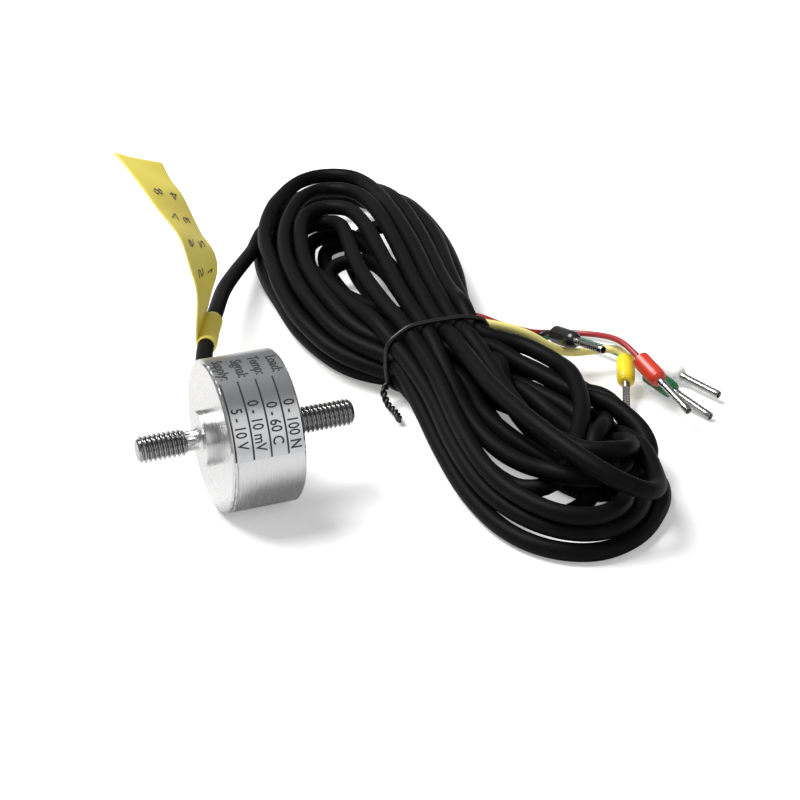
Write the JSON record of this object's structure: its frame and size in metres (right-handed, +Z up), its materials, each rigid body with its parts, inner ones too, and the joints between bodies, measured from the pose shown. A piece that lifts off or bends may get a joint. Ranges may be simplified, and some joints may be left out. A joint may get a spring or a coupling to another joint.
{
  "type": "miniature tension and compression force sensor",
  "caption": "Round steel force sensor lying on its side, with a threaded stud at each end, a black cable in a tied hank, a yellow flag and ferruled wire ends.",
  "frame": {"origin": "on the surface that the sensor lies on, below the middle of its overall length", "axes": "+X along the measuring axis towards the rear stud, +Y out through the cable outlet, +Z up"},
  "size_m": [0.0963, 0.1471, 0.0377],
  "materials": {
    "body_steel": "fine turned and satin",
    "turned_steel": "fine turned",
    "foil": "satin silver foil with printed rules",
    "gauge_foil": "amber backing film",
    "copper_wire": "enamelled copper",
    "board": "green lacquer",
    "pads": "silicone adhesive",
    "resistor": "satin",
    "seal_rubber": "matt",
    "brass": "crimped",
    "cable_jacket": "matt, slightly satin",
    "core_insulation": "satin",
    "tie": "satin",
    "flag_tape": "crinkled matt tape with pen strokes",
    "sleeve_yellow": "satin sleeve",
    "wire_red": "satin",
    "wire_green": "satin",
    "wire_white": "satin",
    "wire_black": "satin",
    "collar_yellow": "moulded",
    "collar_red": "moulded",
    "collar_green": "moulded",
    "collar_white": "moulded",
    "collar_black": "moulded",
    "tinned_pin": "tin plated and crimped"
  },
  "bodies": {
    "root": {"housing": "body_steel", "sensing_element": "turned_steel", "rating_label": "foil", "strain_gauge_1": "gauge_foil", "strain_gauge_2": "gauge_foil", "strain_gauge_3": "gauge_foil", "strain_gauge_4": "gauge_foil", "gauge_leads": "copper_wire", "bridge_board": "board", "board_pads": "pads", "trim_resistors": "resistor", "cable_outlet": "turned_steel", "outlet_seal": "seal_rubber", "cable_anchor": "brass", "cable_inner_end": "cable_jacket", "inner_cores": "core_insulation", "cable_lead": "cable_jacket", "cable_hank": "cable_jacket", "hank_tie": "tie", "flag_label": "flag_tape", "wire_yellow": "sleeve_yellow", "wire_red": "wire_red", "wire_green": "wire_green", "wire_white": "wire_white", "wire_black": "wire_black", "collar_yellow": "collar_yellow", "collar_red": "collar_red", "collar_green": "collar_green", "collar_white": "collar_white", "collar_black": "collar_black", "pin_yellow": "tinned_pin", "pin_red": "tinned_pin", "pin_green": "tinned_pin", "pin_white": "tinned_pin", "pin_black": "tinned_pin"}
  },
  "joints": []
}
